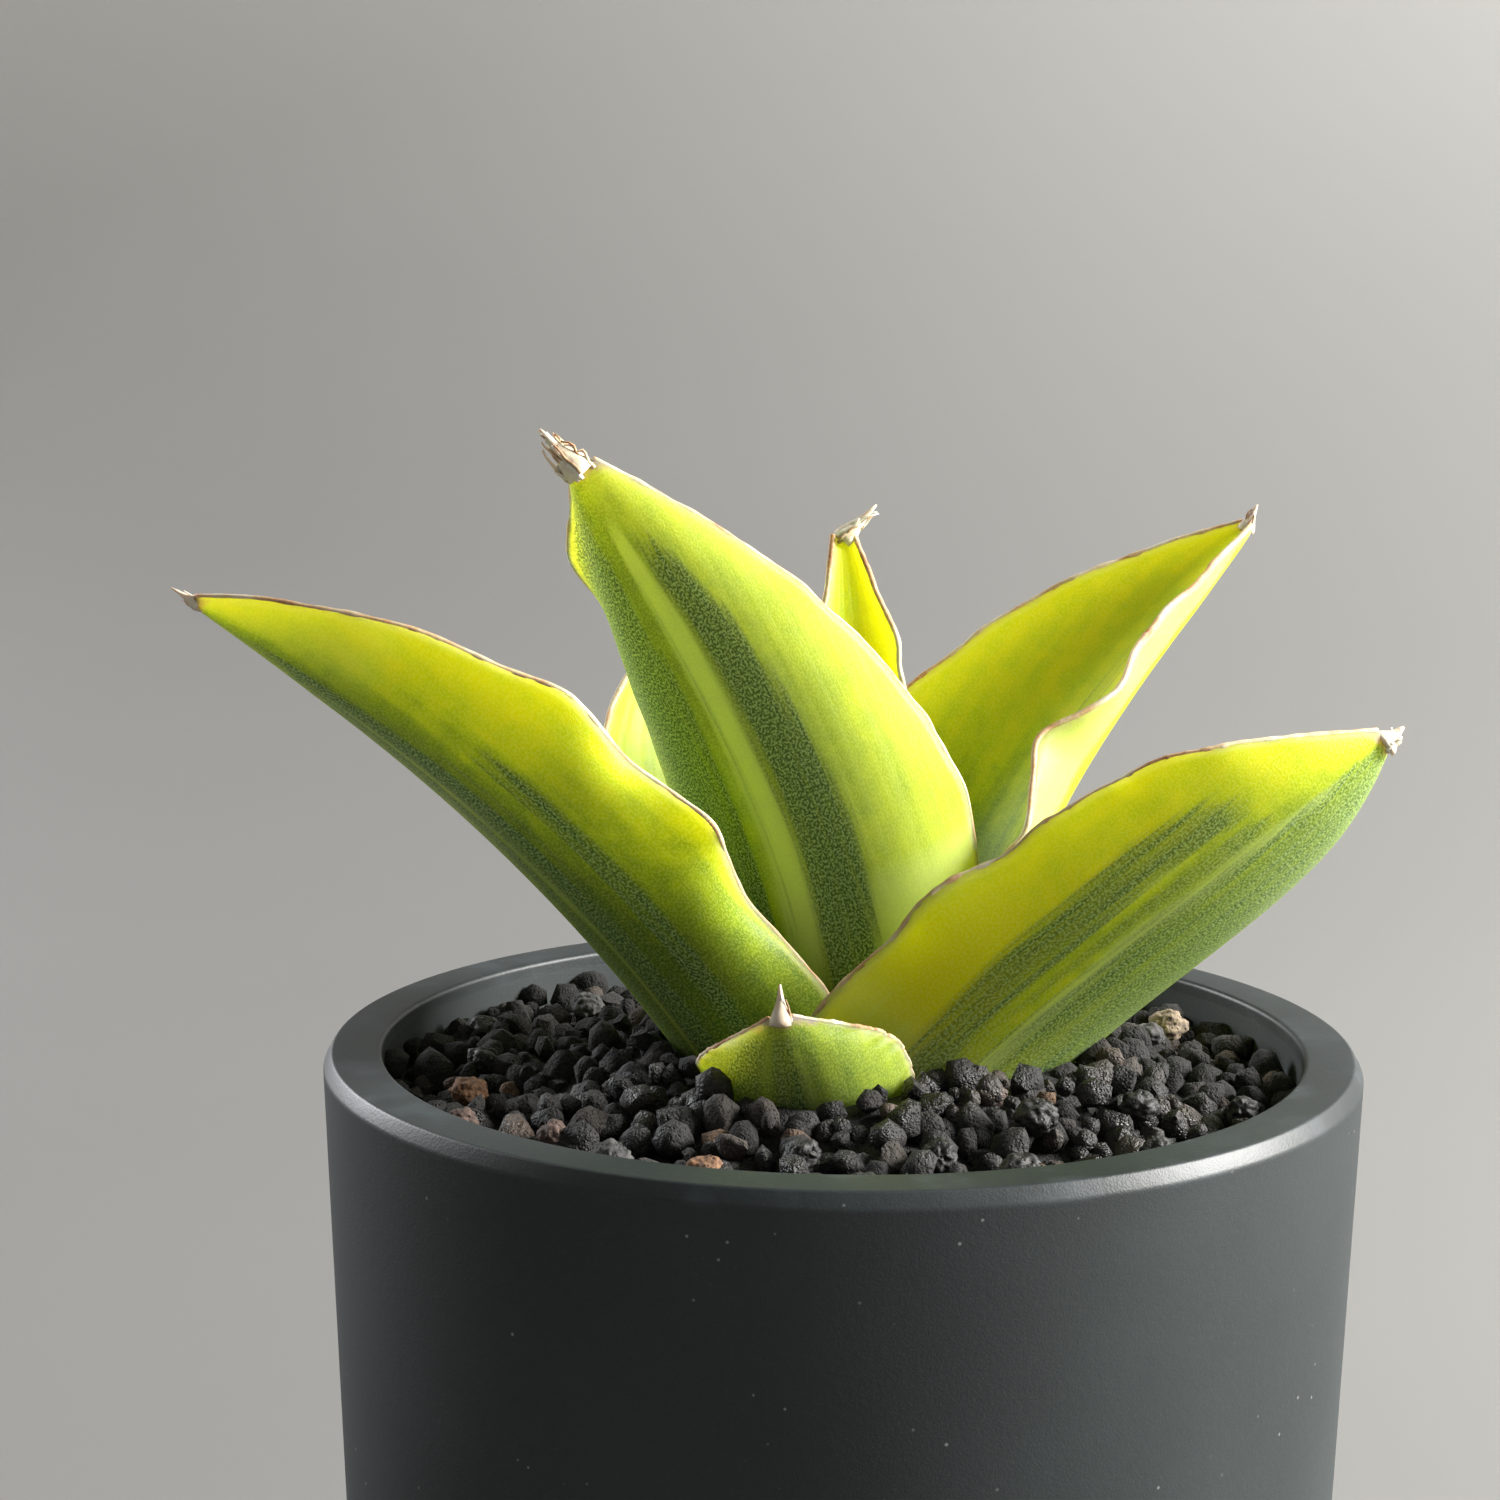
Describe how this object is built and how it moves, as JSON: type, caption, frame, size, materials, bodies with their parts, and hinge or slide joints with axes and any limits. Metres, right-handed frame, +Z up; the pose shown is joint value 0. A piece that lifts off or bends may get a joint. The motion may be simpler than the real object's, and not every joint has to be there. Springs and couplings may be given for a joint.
{
  "type": "potted snake plant",
  "caption": "Small variegated snake plant with broad, pointed, channelled leaves, in a round matte pot filled with black lava grit.",
  "frame": {"origin": "centre of the pot's flat underside", "axes": "+Z up along the pot's axis, -Y towards the front, +X to the right seen from the front"},
  "size_m": [0.1136, 0.1, 0.1498],
  "materials": {
    "pot": "matte, fine grained",
    "mesh": "moulded, matte",
    "pumice": "porous, dry",
    "grit": "porous black lava, partly damp",
    "rhizome": "dull orange-brown skin",
    "leaf": "waxy satin, variegated yellow-green with dark green bands",
    "leaf_margin": "dry horny edge",
    "leaf_tip": "dried, fibrous",
    "stone_black": "porous lava, damp gloss",
    "stone_grey": "porous, dry",
    "stone_brown": "porous, dry",
    "stone_rust": "porous, dry",
    "stone_tan": "porous, dry",
    "stone_cream": "smooth grain, dry"
  },
  "bodies": {
    "root": {"pot": "pot", "drainage_mesh": "mesh", "drainage_gravel": "pumice", "grit": "grit", "rhizome_and_roots": "rhizome", "leaf_spear": "leaf", "leaf_back": "leaf", "leaf_back_left": "leaf", "leaf_front": "leaf", "leaf_back_right": "leaf", "leaf_left": "leaf", "leaf_right": "leaf", "leaf_scale": "leaf", "stone_rust_left": "stone_rust", "stone_brown_left": "stone_brown", "stone_brown_front_left": "stone_brown", "stone_cream": "stone_cream", "stone_grey_front_left": "stone_grey", "stone_rust_front": "stone_rust", "stone_black_front_1": "stone_black", "stone_black_front_2": "stone_black", "stone_black_front_3": "stone_black", "stone_black_front_4": "stone_black", "stone_black_front_5": "stone_black", "stone_black_front_6": "stone_black", "stone_black_right_1": "stone_black", "stone_black_right_2": "stone_black", "stone_grey_right": "stone_grey", "stone_tan_right": "stone_tan", "stone_tan_back_right": "stone_tan", "stone_brown_back": "stone_brown", "stone_black_back": "stone_black", "stone_grey_back_left": "stone_grey", "stone_black_left_1": "stone_black", "stone_black_left_2": "stone_black"}
  },
  "joints": []
}
